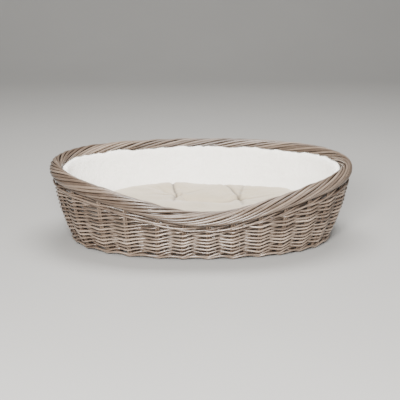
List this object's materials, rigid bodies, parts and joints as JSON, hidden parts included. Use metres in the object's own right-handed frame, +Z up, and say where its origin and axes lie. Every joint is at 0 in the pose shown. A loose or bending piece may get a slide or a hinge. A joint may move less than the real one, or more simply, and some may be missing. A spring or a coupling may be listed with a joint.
{
  "type": "wicker pet bed basket",
  "caption": "Oval willow pet bed basket with a low front, rope border, white plush liner and a tufted cream cushion that lift out.",
  "frame": {"origin": "middle of the underside: centre of the overall box in plan, on the surface the bed stands on", "axes": "+X along the length, to the right of someone facing the low front; +Y towards the back; +Z up"},
  "size_m": [0.699, 0.4756, 0.1869],
  "materials": {
    "willow": "satin",
    "base_sticks": "satin",
    "border_willow": "satin",
    "plush": "matte",
    "cotton_cover": "matte",
    "fibre_filling": "matte",
    "thread": "matte"
  },
  "bodies": {
    "basket": {"base_long_sticks": "base_sticks", "base_cross_sticks": "base_sticks", "base_weave_under": "willow", "base_weave_over": "willow", "stakes": "willow", "bye_stakes": "willow", "upsett_wale": "willow", "weave_row_01": "willow", "weave_row_02": "willow", "weave_row_03": "willow", "weave_row_04": "willow", "weave_row_05": "willow", "weave_row_06": "willow", "weave_row_07": "willow", "weave_row_08": "willow", "weave_row_09": "willow", "weave_row_10": "willow", "weave_row_11": "willow", "weave_row_12": "willow", "weave_row_13": "willow", "top_wale": "willow", "border_rods": "border_willow", "border_core": "border_willow"},
    "liner": {"liner_wall": "plush", "liner_floor": "plush"},
    "cushion": {"cushion_top_panel": "cotton_cover", "cushion_bottom_panel": "cotton_cover", "cushion_filling": "fibre_filling", "cushion_tuft_threads": "thread"}
  },
  "joints": [
    {"name": "liner_lift", "type": "slide", "parent": "basket", "child": "liner", "axis": [0, 0, 1], "range_m": [0, 0.22]},
    {"name": "cushion_lift", "type": "slide", "parent": "liner", "child": "cushion", "axis": [0, 0, 1], "range_m": [0, 0.22]}
  ]
}
